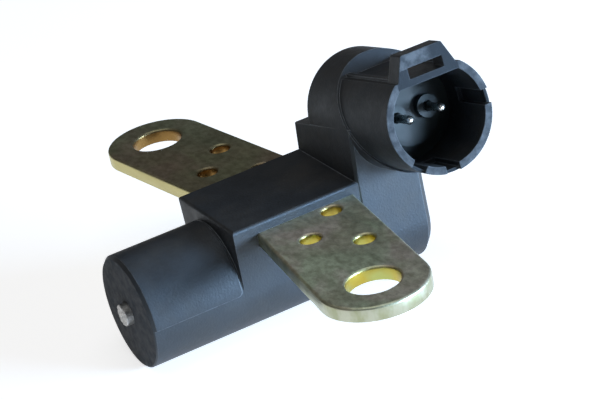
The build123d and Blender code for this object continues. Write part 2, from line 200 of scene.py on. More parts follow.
class BracketSettings(bpy.types.PropertyGroup):
    """Tints of the zinc and sizes of the punched strip"""
    olive: FloatVectorProperty(
        name="Olive tint", description="Main tint of the passivated zinc", subtype="COLOR",
        min=0, max=1, default=(0.69, 0.665, 0.48))
    rose: FloatVectorProperty(
        name="Rose tint", description="Second tint that drifts over the zinc", subtype="COLOR",
        min=0, max=1, default=(0.69, 0.60, 0.49))
    green: FloatVectorProperty(
        name="Green tint", description="Third tint that drifts over the zinc", subtype="COLOR",
        min=0, max=1, default=(0.61, 0.67, 0.46))
    # Painted shade: this cast darkens the tints on the far ear
    far_ear_shade: FloatVectorProperty(
        name="Brown cast",
        description="Cast that darkens the tints on the ear away from the socket",
        subtype="COLOR", min=0, max=1, default=(0.57, 0.55, 0.51))
    speck: FloatVectorProperty(
        name="Specks", description="Cast of the small dark specks on the zinc",
        subtype="COLOR", min=0, max=1, default=(0.62, 0.60, 0.56))
    speck_share: FloatProperty(
        name="Speck strength", description="How strongly the small specks show",
        subtype="FACTOR", min=0, max=1, default=0.85)
    cut: FloatVectorProperty(
        name="Cut faces", description="Yellow tint of the punched edges",
        subtype="COLOR", min=0, max=1, default=(0.48, 0.48, 0.36))
    cut_dull: FloatVectorProperty(
        name="Dull cut faces", description="Duller green-yellow marks on the punched edges",
        subtype="COLOR", min=0, max=1, default=(0.36, 0.37, 0.23))
    # Painted light: the far ear's cut edges are a yellower copy that stands in for how light falls
    # there
    cut_far_lit: FloatVectorProperty(
        name="Far cut faces",
        description="Yellower punched edges on the ear away from the socket",
        subtype="COLOR", min=0, max=1, default=(0.52, 0.47, 0.20))
    hole: FloatVectorProperty(
        name="Hole walls", description="Stronger yellow inside the holes", subtype="COLOR",
        min=0, max=1, default=(0.48, 0.37, 0.06))
    hole_pale: FloatVectorProperty(
        name="Pale hole walls", description="Paler green-yellow patches inside the holes",
        subtype="COLOR", min=0, max=1, default=(0.42, 0.43, 0.13))
    # Painted shade: darker, browner hole walls on the far ear
    hole_far_shade: FloatVectorProperty(
        name="Far hole walls", description="Browner hole walls on the ear away from the socket",
        subtype="COLOR", min=0, max=1, default=(0.30, 0.18, 0.06))
    roughness: FloatProperty(
        name="Roughness", description="Mean roughness of the plated skin", subtype="FACTOR",
        min=0, max=1, default=0.54)
    # These two places bound the painted light and shade that set the far ear apart from the near
    # one
    far_shade_end: FloatProperty(
        name="Far side", description="Place before which the tints are those of the far ear",
        subtype="DISTANCE", unit="LENGTH", default=-12.0 * MM)
    near_light_start: FloatProperty(
        name="Near side", description="Place from which the tints are those of the near ear",
        subtype="DISTANCE", unit="LENGTH", default=20.0 * MM)
    ear_width: FloatProperty(
        name="Ear width", description="Width of the strip across either ear",
        subtype="DISTANCE", unit="LENGTH", min=10 * MM, max=30 * MM, default=18.6 * MM)
    ear_sweep: FloatProperty(
        name="Ear sweep",
        description="Angle by which the ears lean towards the nose", subtype="ANGLE",
        unit="ROTATION", min=0, max=math.radians(20), default=math.radians(7.7))
    fixing_hole: FloatProperty(
        name="Fixing hole", description="Diameter of the two end holes",
        subtype="DISTANCE", unit="LENGTH", min=4 * MM, max=12 * MM, default=9.0 * MM)
    small_hole: FloatProperty(
        name="Small hole", description="Diameter of the six small holes",
        subtype="DISTANCE", unit="LENGTH", min=1 * MM, max=5 * MM, default=3.6 * MM)
    roll: FloatProperty(
        name="Rolled edge", description="Rounding where the punch went in",
        subtype="DISTANCE", unit="LENGTH", min=0, max=1 * MM, default=0.5 * MM)
    burr: FloatProperty(
        name="Burr edge", description="Rounding where the punch came out",
        subtype="DISTANCE", unit="LENGTH", min=0, max=0.5 * MM, default=0.12 * MM)


class ContactSettings(bpy.types.PropertyGroup):
    """Colours and sizes of the contact pins and their carrier"""
    tin: FloatVectorProperty(
        name="Tin", description="Colour of the tinned contact pins and terminal posts",
        subtype="COLOR", min=0, max=1, default=(0.66, 0.65, 0.60))
    carrier: FloatVectorProperty(
        name="Carrier", description="Colour of the moulding that the pins stand in",
        subtype="COLOR", min=0, max=1, default=(0.010, 0.020, 0.022))
    pin: FloatProperty(
        name="Pin", description="Diameter of the exposed contact pins",
        subtype="DISTANCE", unit="LENGTH", min=0.5 * MM, max=3 * MM, default=1.5 * MM)
    shank: FloatProperty(
        name="Pin shank", description="Diameter of the pins inside their carrier",
        subtype="DISTANCE", unit="LENGTH", min=0.5 * MM, max=3 * MM, default=1.9 * MM)
    exposed: FloatProperty(
        name="Pin reach", description="Length of pin that stands out of its collar",
        subtype="DISTANCE", unit="LENGTH", min=1 * MM, max=20 * MM, default=5.3 * MM)


class PoleSettings(bpy.types.PropertyGroup):
    """Colours and sizes of the pole piece and its seal"""
    steel: FloatVectorProperty(
        name="Pole steel", description="Colour of the bare pole piece", subtype="COLOR",
        min=0, max=1, default=(0.56, 0.555, 0.54))
    rubber: FloatVectorProperty(
        name="Seal rubber", description="Colour of the ring that seals the pole piece",
        subtype="COLOR", min=0, max=1, default=(0.02, 0.02, 0.02))
    pin: FloatProperty(
        name="Pole", description="Diameter of the pole piece where it stands out",
        subtype="DISTANCE", unit="LENGTH", min=1 * MM, max=10 * MM, default=4.0 * MM)
    head: FloatProperty(
        name="Pole head", description="Thickness of the pole piece's head",
        subtype="DISTANCE", unit="LENGTH", min=0.5 * MM, max=5 * MM, default=2.0 * MM)


class InnerSettings(bpy.types.PropertyGroup):
    """Colours of the pieces inside the housing"""
    bobbin: FloatVectorProperty(
        name="Bobbin", description="Colour of the moulded coil bobbin", subtype="COLOR",
        min=0, max=1, default=(0.62, 0.58, 0.48))
    wire: FloatProperty(
        name="Wire", description="Diameter of the winding's wire",
        subtype="DISTANCE", unit="LENGTH", min=0.03 * MM, max=1 * MM, default=0.12 * MM)
    copper: FloatVectorProperty(
        name="Copper", description="Colour of the enamelled winding wire", subtype="COLOR",
        min=0, max=1, default=(0.62, 0.27, 0.13))
    tape: FloatVectorProperty(
        name="Tape", description="Colour of the tape round the winding", subtype="COLOR",
        min=0, max=1, default=(0.75, 0.55, 0.12))
    magnet: FloatVectorProperty(
        name="Magnet", description="Colour of the sintered magnet", subtype="COLOR",
        min=0, max=1, default=(0.22, 0.22, 0.23))
    disc: FloatVectorProperty(
        name="Disc steel", description="Colour of the disc behind the magnet", subtype="COLOR",
        min=0, max=1, default=(0.52, 0.52, 0.50))
    brass: FloatVectorProperty(
        name="Brass", description="Colour of the lead strips", subtype="COLOR",
        min=0, max=1, default=(0.66, 0.50, 0.24))
    solder: FloatVectorProperty(
        name="Solder", description="Colour of the solder joints", subtype="COLOR",
        min=0, max=1, default=(0.55, 0.55, 0.55))


class StudioSettings(bpy.types.PropertyGroup):
    """Floor, light and lens of the studio"""
    floor_colour: FloatVectorProperty(
        name="Floor colour", description="Colour of the floor", subtype="COLOR",
        min=0, max=1, default=(0.86, 0.86, 0.86))
    floor_glow: FloatProperty(
        name="Floor glow", description="Light that the floor adds to what is seen of it",
        min=0, max=1, default=0.66)
    key_power: FloatProperty(
        name="Key power", description="Power of the soft box at the right", unit="POWER",
        min=0, default=11.5)
    key_colour: FloatVectorProperty(
        name="Key colour", description="Colour of the soft box at the right",
        subtype="COLOR", min=0, max=1, default=(0.50, 0.72, 1.0))
    fill_power: FloatProperty(
        name="Fill power", description="Power of the soft box overhead", unit="POWER",
        min=0, default=1.5)
    horizon_light: FloatProperty(
        name="Horizon light", description="Brightness of the room's pale lower walls",
        min=0, max=1, default=0.18)
    room_light: FloatProperty(
        name="Room light", description="Brightness of the room above its pale lower walls",
        min=0, max=1, default=0.078)
    lens: FloatProperty(
        name="Lens", description="Focal length of the camera in millimetres",
        subtype="DISTANCE_CAMERA", unit="CAMERA", min=10, max=500, default=150.07)


# Node helpers

class Nodes:
    """A node tree under construction, with short calls for its nodes."""

    def __init__(self, tree):
        self.tree = tree

    def node(self, kind, links=None, **values):
        """Adds a node. Each link gives an input a socket, a list of sockets or a plain value."""
        made = self.tree.nodes.new(kind)
        for key, value in values.items():
            setattr(made, key, value)
        for socket, source in (links or {}).items():
            for each in source if isinstance(source, list) else [source]:
                if isinstance(each, bpy.types.NodeSocket):
                    self.tree.links.new(each, made.inputs[socket])
                else:
                    made.inputs[socket].default_value = each
        return made

    def out(self, kind, links=None, output=0, **values):
        """Adds a node and returns one of its outputs."""
        return self.node(kind, links, **values).outputs[output]

    def math(self, operation, first, second=0.0):
        return self.out("ShaderNodeMath", {0: first, 1: second}, operation=operation)

    def product(self, first, *others):
        for other in others:
            first = self.math("MULTIPLY", first, other)
        return first

    def one_minus(self, value):
        return self.math("SUBTRACT", 1.0, value)


class Shader(Nodes):
    """A material under construction. Its keywords are constants of the surface's sockets."""

    def __init__(self, name, **values):
        self.material = bpy.data.materials.new(name)
        self.material.use_nodes = True
        super().__init__(self.material.node_tree)
        self.surface = self.tree.nodes["Principled BSDF"]
        self.place = self.out("ShaderNodeTexCoord", output="Object")
        for socket, value in values.items():
            self.surface.inputs[socket.replace("_", " ")].default_value = value

    def set(self, socket, source):
        self.tree.links.new(source, self.surface.inputs[socket])

    def noise(self, size, detail, density=(1, 1, 1), rough=0.5, distortion=0.0):
        """Noise with spots of about size metres, longer along an axis whose density is low."""
        spot = self.out("ShaderNodeMapping", {"Vector": self.place, "Scale": density})
        return self.out("ShaderNodeTexNoise", {
            "Vector": spot, "Scale": 1 / size, "Detail": detail, "Roughness": rough,
            "Distortion": distortion}, "Fac")

    def spread(self, value, low, high, start=0.35, end=0.65):
        """Maps start to end, which is the middle of a noise unless given, to low and high."""
        return self.out("ShaderNodeMapRange", {
            "Value": value, "From Min": start, "From Max": end, "To Min": low, "To Max": high})

    def mix(self, factor, first, second, blend_type="MIX"):
        """Mixes two colours. A Mix node takes them at inputs 6 and 7 and gives output 2."""
        first, second = (
            each if isinstance(each, bpy.types.NodeSocket) else rgba(each)
            for each in (first, second))
        return self.out("ShaderNodeMix", {0: factor, 6: first, 7: second}, 2,
                        data_type="RGBA", blend_type=blend_type)

    def mix_numbers(self, factor, first, second):
        """Mixes two numbers. A Mix node takes them at inputs 2 and 3 and gives output 0."""
        return self.out("ShaderNodeMix", {0: factor, 2: first, 3: second})

    def dot(self, first, second):
        return self.out("ShaderNodeVectorMath", {0: first, 1: second}, "Value",
                        operation="DOT_PRODUCT")

    def along(self, axis):
        """The object's own coordinate along x, y or z, as axis 0, 1 or 2."""
        return self.out("ShaderNodeSeparateXYZ", {0: self.place}, axis)

    def attribute(self, name):
        return self.out("ShaderNodeAttribute", output="Fac", attribute_name=name)

    def bump(self, height, depth, strength, under=None):
        """Relief of that depth in metres, laid over the normal under it if one is given."""
        links = {"Height": height, "Distance": depth, "Strength": strength}
        if under is not None:
            links["Normal"] = under
        return self.out("ShaderNodeBump", links)


def rgba(colour):
    return (colour[0], colour[1], colour[2], 1.0)


def shaded(colour, share):
    return tuple(share * channel for channel in colour)


# Materials

def rubbed_and_lit_mouth(s, settings, y):
    """How much the socket's mouth is painted pale: its rim, for rubbed wear and painted highlight,
    and the left of the latch bar, for painted highlight.
    """
    low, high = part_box("pin_carrier")
    middle = (low.y + high.y) / 2
    is_mouth = s.math("GREATER_THAN", s.dot(s.place, SOCKET_AXIS), settings.mouth)
    up = s.dot(s.place, SOCKET_UP)
    beside = s.math("ABSOLUTE", s.math("SUBTRACT", y, middle))
    is_latch = s.product(s.math("GREATER_THAN", up, settings.latch_wall),
                         s.math("LESS_THAN", beside, settings.latch_width / 2))
    # The left of the latch bar is painted pale: a painted highlight
    lit_left_bar = s.product(s.math("GREATER_THAN", up, settings.latch_bar),
                         s.spread(y, 1, 0, start=middle + 0.3 * MM, end=middle + 1.8 * MM))
    bare = s.one_minus(s.product(is_latch, s.one_minus(lit_left_bar)))
    wear = s.spread(s.noise(1.6 * MM, detail=3, rough=0.6), 0.25, 1, start=0.36, end=0.62)
    return s.product(is_mouth, wear, bare)


def finish_moulding(settings):
    """Black moulded plastic: fine grain, flow marks, greyed patches, rubbed edges with painted
    highlight, painted shade on the socket's faces, dull ends.
    """
    s = Shader("moulding_black", Specular_IOR_Level=settings.shine,
               Specular_Tint=rgba(settings.shine_tint))
    patches = s.noise(6.0 * MM, detail=4, rough=0.6)
    specks = s.noise(1.2 * MM, detail=3)
    drift = s.spread(s.noise(9.0 * MM, detail=2), 0, 1, start=0.4, end=0.6)
    greyed = s.mix(drift, settings.dull_colour, settings.warm_colour)
    tone = s.mix(s.spread(patches, 0, 1, start=0.38, end=0.68), settings.colour, greyed)

    # At an edge the rounded normal turns away from the face's own
    rounded = s.out("ShaderNodeBevel", {"Radius": settings.edge}, samples=EDGE_SAMPLES)
    flat = s.out("ShaderNodeNewGeometry", output="Normal")
    is_edge = s.spread(s.dot(rounded, flat), 1, 0, start=0.90, end=0.99)
    # Edges are painted pale: partly rubbed wear, partly painted highlight that stands in for light
    # on their rounding
    rubbed = s.product(is_edge, s.spread(specks, 0.4, 1))
    tone = s.mix(rubbed, tone, settings.edge_wear_and_highlight)

    # The nose's end and the faces square to the socket are dull, and those socket faces get
    # painted shade
    y = s.along(1)
    is_end = s.math("LESS_THAN", y, settings.end_face)
    ground = s.mix(s.spread(specks, 0, 1), settings.dull_colour, settings.end_colour)
    is_square = s.math("GREATER_THAN", s.dot(flat, SOCKET_AXIS), SQUARE_TO_SOCKET)
    is_core = s.product(is_square, s.math("GREATER_THAN", y, settings.socket_from))
    # Painted shade on the faces square to the socket, with a pale rim painted at the mouth
    dark = s.mix(settings.socket_shade_share, tone, settings.socket_shade_colour)
    core = s.mix(rubbed_and_lit_mouth(s, settings, y), dark, settings.rim_wear_and_highlight)
    s.set("Base Color", s.mix(is_end, s.mix(is_core, tone, core), ground))

    skin = s.math(
        "ADD", s.spread(patches, settings.roughness - 0.05, settings.roughness + 0.07),
        s.spread(specks, -0.03, 0.03))
    s.set("Roughness", s.mix_numbers(s.math("MAXIMUM", is_end, is_core), skin, DULL_ROUGHNESS))
    grain = s.bump(s.noise(settings.grain, detail=2), depth=0.06 * MM, strength=0.7,
                   under=rounded)
    flow = s.noise(4.0 * MM, detail=2, density=(1, 0.35, 1))
    s.set("Normal", s.bump(flow, depth=0.08 * MM, strength=0.35, under=grain))
    return s.material


def finish_bracket(settings):
    """Yellow passivated zinc: tints that drift, rolling lines, fine pits, barer cut edges, and
    painted light and shade on the far ear.
    """
    s = Shader("bracket_zinc", Metallic=1.0)
    first = s.noise(11.0 * MM, detail=3, density=(1, 1, 0.2), rough=0.55, distortion=0.6)
    second = s.noise(16.0 * MM, detail=3, density=(0.8, 1.2, 0.2), distortion=0.8)
    lines = s.noise(1.6 * MM, detail=3, density=(0.12, 1, 1))
    tint = s.mix(s.spread(first, 0, 1, start=0.42, end=0.6), settings.olive, settings.rose)
    tint = s.mix(s.spread(second, 0, 0.85, start=0.45, end=0.62), tint, settings.green)
    # Painted light and shade by place along x: the far ear's tints and hole walls are darkened and
    # its cut edges yellowed
    near_light_share = s.spread(s.along(0), 0, 1, start=settings.far_shade_end, end=settings.near_light_start)
    tint = s.mix(near_light_share, s.mix(1.0, tint, settings.far_ear_shade, "MULTIPLY"), tint)
    specks = s.noise(1.1 * MM, detail=4, density=(0.7, 1, 1), rough=0.7)
    specks = s.mix(s.spread(specks, 0, 1, start=0.38, end=0.62), settings.speck, WHITE)
    tint = s.mix(settings.speck_share, tint, specks, "MULTIPLY")

    # The tree that grows the strip marks its cut edges and the walls of its holes
    is_cut = s.attribute("cut_wall")
    marks = s.noise(3.0 * MM, detail=3, density=(1, 1, 0.5), rough=0.6)
    marks = s.spread(marks, 0, 1, start=0.42, end=0.6)
    cut = s.mix(near_light_share, settings.cut_far_lit, s.mix(marks, settings.cut, settings.cut_dull))
    patches = s.spread(s.noise(7.0 * MM, detail=2), 0, 1, start=0.42, end=0.58)
    hole = s.mix(near_light_share, settings.hole_far_shade, s.mix(patches, settings.hole, settings.hole_pale))
    bare = s.mix(s.attribute("hole_wall"), cut, hole)
    s.set("Base Color", s.mix(is_cut, tint, bare))

    skin = s.math("ADD", s.spread(first, settings.roughness - 0.06, settings.roughness + 0.08),
                  s.spread(lines, -0.04, 0.04))
    s.set("Roughness", s.mix_numbers(is_cut, skin, s.spread(lines, 0.3, 0.42)))
    rolled = s.bump(lines, depth=0.02 * MM, strength=0.4)
    pits = s.noise(0.5 * MM, detail=2)
    s.set("Normal", s.bump(pits, depth=0.01 * MM, strength=0.5, under=rolled))
    return s.material


def finish_metal(name, colour, roughness, spot=1.0 * MM, depth=0.02 * MM, shade=0.8):
    """Bare or plated metal with fine marks."""
    s = Shader(name, Metallic=1.0)
    marks = s.noise(spot, detail=4, rough=0.6)
    s.set("Base Color", s.mix(s.spread(marks, 0, 1), shaded(colour, shade), colour))
    s.set("Roughness", s.spread(marks, roughness + 0.1, roughness - 0.06))
    s.set("Normal", s.bump(marks, depth, strength=0.6))
    return s.material


def finish_pin(tin):
    """Tinned pin, with painted shade that darkens it down in the socket, bright at its tip."""
    s = Shader("pin_tinned", Metallic=1.0)
    marks = s.noise(0.7 * MM, detail=3)
    # Painted shade: the pin's colour darkens down in the socket
    out_of_socket_shade = s.spread(s.attribute("reach"), 0, 1, start=0.45, end=0.95)
    s.set("Base Color", s.mix(out_of_socket_shade, shaded(tin, 0.16), tin))
    s.set("Roughness", s.spread(marks, 0.32, 0.2))
    s.set("Normal", s.bump(marks, depth=0.01 * MM, strength=0.5))
    return s.material


def finish_winding(copper, wire):
    """Enamelled wire wound side by side along the sensing axis, with painted shade in the grooves
    between turns.
    """
    s = Shader("winding_copper", Metallic=1.0)
    turns = s.out("ShaderNodeTexWave", {
        "Vector": s.place, "Scale": WAVE_LENGTH / wire, "Distortion": 0.0}, "Fac",
        bands_direction="Y")
    # Painted shade: the colour darkens in the grooves between the turns
    s.set("Base Color", s.mix(turns, shaded(copper, 0.35), copper))
    s.set("Roughness", s.spread(s.noise(0.9 * MM, detail=3), 0.34, 0.24))
    s.set("Normal", s.bump(turns, depth=wire / 2, strength=0.8))
    return s.material


def finish_dull(name, colour, roughness, spot=1.5 * MM, depth=0.02 * MM, metallic=0.0):
    """Plain plastic, rubber or sintered stuff with a light mottle."""
    s = Shader(name, Metallic=metallic)
    mottle = s.noise(spot, detail=4, rough=0.6)
    s.set("Base Color", s.mix(s.spread(mottle, 0, 1), shaded(colour, 0.75), colour))
    s.set("Roughness", s.spread(mottle, roughness - 0.05, roughness + 0.08))
    s.set("Normal", s.bump(mottle, depth, strength=0.5))
    return s.material


def dress(material, *names):
    """Gives CAD nodes a material."""
    for name in names:
        for slot in NODES[name].material_slots:
            slot.material = material


# Mesh helpers

def new_object(name, data):
    made = bpy.data.objects.new(name, data)
    bpy.context.scene.collection.objects.link(made)
    return made


def keep_flat(mesh):
    """Gives the points of level faces a level normal, so that only rounded edges shade round."""
    normals = [vertex.normal.copy() for vertex in mesh.vertices]
    for face in mesh.polygons:
        if abs(face.normal.z) > LEVEL:
            for index in face.vertices:
                normals[index] = Vector((0, 0, math.copysign(1, face.normal.z)))
    mesh.normals_split_custom_set_from_vertices(normals)


def settle(piece, node, material, flats=False):
    """Turns a piece and its modifiers into a plain mesh that stands for a CAD node."""
    graph = bpy.context.evaluated_depsgraph_get()
    mesh = bpy.data.meshes.new_from_object(
        piece.evaluated_get(graph), preserve_all_data_layers=True, depsgraph=graph)
    if len(mesh.polygons) == 0:
        raise RuntimeError(f"{piece.name} came out empty")
    piece.modifiers.clear()
    piece.data = mesh
    mesh.materials.clear()
    mesh.materials.append(material)
    if flats:
        keep_flat(mesh)
    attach(piece, "root")
    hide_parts(node)


class Growth(Nodes):
    """A geometry node tree under construction, with named sizes as its inputs."""

    def __init__(self, name, **sizes):
        super().__init__(bpy.data.node_groups.new(name, "GeometryNodeTree"))
        self.tree.is_modifier = True
        sockets = self.tree.interface
        sockets.new_socket("Geometry", in_out="INPUT", socket_type="NodeSocketGeometry")
        for label, value in sizes.items():
            kind = "NodeSocketVector" if isinstance(value, tuple) else "NodeSocketFloat"
            sockets.new_socket(label, in_out="INPUT", socket_type=kind).default_value = value
        sockets.new_socket("Geometry", in_out="OUTPUT", socket_type="NodeSocketGeometry")
        self.given = self.tree.nodes.new("NodeGroupInput").outputs

    def read(self, name):
        return self.out("GeometryNodeInputNamedAttribute", {"Name": name}, data_type="FLOAT")

    def store(self, geometry, name, value, domain="POINT"):
        return self.out("GeometryNodeStoreNamedAttribute", {
            "Geometry": geometry, "Name": name, "Value": value}, data_type="FLOAT", domain=domain)

    def vector(self, x=0.0, y=0.0, z=0.0):
        return self.out("ShaderNodeCombineXYZ", {0: x, 1: y, 2: z})

    def circle(self, steps):
        """Circle of radius 1 about the origin."""
        return self.out("GeometryNodeCurvePrimitiveCircle", {"Resolution": steps, "Radius": 1.0})

    def join(self, *geometries):
        return self.out("GeometryNodeJoinGeometry", {0: list(geometries)})

    def realize(self, geometry):
        return self.out("GeometryNodeRealizeInstances", {0: geometry})

    def end(self, geometry, material):
        smooth = self.out("GeometryNodeSetShadeSmooth", {
            "Geometry": geometry, "Shade Smooth": True})
        painted = self.out("GeometryNodeSetMaterial", {
            "Geometry": self.realize(smooth), "Material": material})
        self.tree.links.new(painted, self.tree.nodes.new("NodeGroupOutput").inputs[0])

    def grow_on(self, piece, **sizes):
        """Puts the tree on a piece, with its inputs set by their identifiers."""
        modifier = piece.modifiers.new(self.tree.name, "NODES")
        modifier.node_group = self.tree
        for item in self.tree.interface.items_tree:
            if item.in_out == "INPUT" and item.name in sizes:
                modifier[item.identifier] = sizes[item.name]
        piece.update_tag()


# Operators

class SENSOR_OT_moulded_body(bpy.types.Operator):
    """Finish the black moulded housing"""
    bl_idname = "sensor.moulded_body"
    bl_label = "Moulded housing"

    def execute(self, context):
        dress(finish_moulding(context.scene.sensor_moulding), "moulded_body")
        return {"FINISHED"}


class SENSOR_OT_bracket(bpy.types.Operator):
    """Finish the punched and plated bracket"""
    bl_idname = "sensor.bracket"
    bl_label = "Mounting bracket"

    def execute(self, context):
        settings = context.scene.sensor_bracket
        low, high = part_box("mounting_bracket")
        material = finish_bracket(settings)
        strip = new_object("plated_bracket", self.outline(settings, low, high))
        self.punching(material).grow_on(
            strip, Thickness=high.z - low.z, Roll=settings.roll, Burr=settings.burr)
        settle(strip, "mounting_bracket", material, flats=True)
        return {"FINISHED"}

    def outline(self, settings, low, high):
        """Outline of the flat strip as edges, and a loose point that holds each hole's radius."""
        half_ear = settings.ear_width / 2
        half_spacing = high.x - half_ear
        angle = settings.ear_sweep
        centre_y = low.y + half_ear
        corner_y = centre_y + half_spacing * math.tan(angle)
        rear_corner = (0, corner_y + half_ear / math.cos(angle))
        front_corner = (0, corner_y - half_ear / math.cos(angle))
        right = []
        for step in range(EAR_STEPS + 1):
            turn = -math.pi / 2 - angle + math.pi * step / EAR_STEPS
            right.append((half_spacing + half_ear * math.cos(turn),
                          centre_y + half_ear * math.sin(turn)))
        left = [(-x, y) for x, y in reversed(right)]
        rim = [(min(max(x, low.x), high.x), min(max(y, low.y), high.y))
               for x, y in (front_corner, *right, rear_corner, *left)]
        holes = [(side * half_spacing, centre_y, settings.fixing_hole / 2) for side in (1, -1)]
        holes += [(side * x, y, settings.small_hole / 2)
                  for x, y in SMALL_HOLES for side in (1, -1)]
        mesh = bpy.data.meshes.new("strip_outline")
        points = [(x, y, low.z) for x, y in rim] + [(x, y, low.z) for x, y, radius in holes]
        mesh.from_pydata(points, [(i, (i + 1) % len(rim)) for i in range(len(rim))], [])
        radii = mesh.attributes.new("hole_radius", "FLOAT", "POINT")
        radii.data.foreach_set("value", [0.0] * len(rim) + [radius for x, y, radius in holes])
        return mesh

    def punching(self, material):
        """Tree that sweeps the cut edge round the outline and the holes, and closes both faces."""
        g = Growth("punched_strip", Thickness=2.5 * MM, Roll=0.5 * MM, Burr=0.12 * MM)
        thickness, roll, burr = g.given["Thickness"], g.given["Roll"], g.given["Burr"]
        radius = g.read("hole_radius")
        parts = g.node("GeometryNodeSeparateGeometry", {
            "Geometry": g.given["Geometry"], "Selection": g.math("GREATER_THAN", radius, 0.0)})
        rim = g.out("GeometryNodeMeshToCurve", {"Mesh": parts.outputs["Inverted"]})
        centres = g.out("GeometryNodeMeshToPoints", {"Mesh": parts.outputs["Selection"]})
        holes = g.realize(g.out("GeometryNodeInstanceOnPoints", {
            "Points": centres, "Scale": g.vector(radius, radius, 1.0),
            "Instance": g.out("GeometryNodeReverseCurve", {"Curve": g.circle(HOLE_STEPS)})}))
        loops = g.join(rim, g.store(holes, "is_hole", 1.0))
        loops = g.out("GeometryNodeSetCurveNormal", {"Curve": loops}, mode="Z_UP")
        wall = g.out("GeometryNodeCurveToMesh", {
            "Curve": loops, "Profile Curve": self.edge_profile(g, thickness, roll, burr)})
        wall = g.store(wall, "hole_wall", g.read("is_hole"), "FACE")
        place = g.out("GeometryNodeInputPosition")
        height = g.out("ShaderNodeSeparateXYZ", {0: place}, "Z")
        depth = g.math("DIVIDE", g.math("SUBTRACT", thickness, height), roll)
        wall = g.store(wall, "cut_wall", g.math("MINIMUM", depth, 1.0), "FACE")
        top = self.face(g, loops, roll, thickness)
        underside = g.out("GeometryNodeFlipFaces", {"Mesh": self.face(g, loops, burr, 0.0)})
        whole = g.join(wall, top, underside)
        whole = g.out("GeometryNodeMergeByDistance", {"Geometry": whole, "Distance": WELD})
        g.end(whole, material)
        return g

    def edge_profile(self, g, thickness, roll, burr):
        """Section of the cut edge: a wide quarter round above, the wall, a small one below."""
        index = g.out("GeometryNodeInputIndex")
        upper = g.math("MINIMUM", g.math("DIVIDE", index, ROLL_STEPS), 1.0)
        upper = g.product(upper, math.pi / 2)
        lower = g.math("MAXIMUM", g.math("SUBTRACT", index, ROLL_STEPS + 1), 0.0)
        lower = g.product(g.math("DIVIDE", lower, BURR_STEPS), math.pi / 2)
        is_lower = g.math("GREATER_THAN", index, ROLL_STEPS + 0.5)
        inward = g.math("ADD", g.product(roll, g.one_minus(g.math("SINE", upper))),
                        g.product(burr, g.one_minus(g.math("COSINE", lower))))
        plain = g.math("SUBTRACT", g.math("SUBTRACT", thickness, roll), burr)
        drop = g.product(roll, g.one_minus(g.math("COSINE", upper)))
        drop = g.math("ADD", drop, g.product(plain, is_lower))
        drop = g.math("ADD", drop, g.product(burr, g.math("SINE", lower)))
        height = g.math("SUBTRACT", thickness, drop)
        line = g.out("GeometryNodeMeshLine", {"Count": (ROLL_STEPS + 1) + (BURR_STEPS + 1)})
        line = g.out("GeometryNodeSetPosition", {
            "Geometry": line, "Position": g.vector(g.product(inward, -1.0),
                                                   g.product(height, -1.0))})
        return g.out("GeometryNodeMeshToCurve", {"Mesh": line})

    def face(self, g, loops, inset, level):
        """Flat face inside the loops, inset from the cut edge."""
        inward = g.out("ShaderNodeVectorMath", {
            0: (0, 0, 1), 1: g.out("GeometryNodeInputTangent")}, operation="CROSS_PRODUCT")
        inward = g.out("ShaderNodeVectorMath", {0: inward, "Scale": inset}, operation="SCALE")
        inset_loops = g.out("GeometryNodeSetPosition", {"Geometry": loops, "Offset": inward})
        sheet = g.out("GeometryNodeFillCurve", {"Curve": inset_loops}, mode="TRIANGLES")
        return g.out("GeometryNodeSetPosition", {"Geometry": sheet, "Offset": g.vector(z=level)})


class SENSOR_OT_contacts(bpy.types.Operator):
    """Finish the contact pins and the carrier that they stand in"""
    bl_idname = "sensor.contacts"
    bl_label = "Contact pins and carrier"

    def execute(self, context):
        settings = context.scene.sensor_contacts
        material = finish_pin(settings.tin)
        tree = self.turning(material)
        sine, cosine = math.sin(SOCKET_TILT), math.cos(SOCKET_TILT)
        half_shank = settings.shank / 2
        for lead in ("front", "rear"):
            node = f"contact_pin_{lead}"
            low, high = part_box(node)
            start = Vector((low.x + half_shank * sine, (low.y + high.y) / 2,
                            low.z + half_shank * cosine))
            reach = (high.x - TIP_ROOM * settings.pin * sine - start.x) / cosine
            end = start + reach * SOCKET_AXIS
            pin = new_object(f"plug_pin_{lead}", bpy.data.meshes.new("pin_line"))
            tree.grow_on(pin, Start=start, End=end, Pin=settings.pin / 2, Shank=half_shank,
                         Exposed=settings.exposed, Tip=TIP_LENGTH * settings.pin)
            settle(pin, node, material)
        carrier = finish_dull("carrier_plastic", settings.carrier, roughness=0.55,
                              spot=3.0 * MM, depth=0.08 * MM)
        dress(carrier, "pin_carrier")
        return {"FINISHED"}

    def turning(self, material):
        """Tree that turns a pin along a line: a wider shank, a slim pin and a round tip."""
        g = Growth("turned_pin", Start=(0.0, 0.0, 0.0), End=(10 * MM, 0.0, 0.0),
                   Pin=0.75 * MM, Shank=0.95 * MM, Exposed=5.3 * MM, Tip=0.7 * MM)
        line = g.out("GeometryNodeCurvePrimitiveLine", {
            "Start": g.given["Start"], "End": g.given["End"]})
        line = g.out("GeometryNodeResampleCurve", {"Curve": line, "Count": PIN_RINGS})
        done = g.out("GeometryNodeSplineParameter", output="Length")
        whole = g.out("GeometryNodeSplineLength", output="Length")
        left = g.math("SUBTRACT", whole, done)
        thick = g.out("GeometryNodeSwitch", {
            "Switch": g.math("GREATER_THAN", left, g.given["Exposed"]),
            "False": g.given["Pin"], "True": g.given["Shank"]}, input_type="FLOAT")
        slope = g.one_minus(g.math("MINIMUM", g.math("DIVIDE", left, g.given["Tip"]), 1.0))
        round_tip = g.math("SQRT", g.one_minus(g.product(slope, slope)))
        thick = g.product(thick, g.math("MAXIMUM", round_tip, TIP_FLAT))
        # Share of the exposed length, which the pin's finish uses for its painted shade down in
        # the socket
        line = g.store(line, "reach", g.one_minus(g.math("DIVIDE", left, g.given["Exposed"])))
        pin = g.out("GeometryNodeCurveToMesh", {
            "Curve": line, "Profile Curve": g.circle(PIN_STEPS), "Scale": thick,
            "Fill Caps": True})
        g.end(pin, material)
        return g


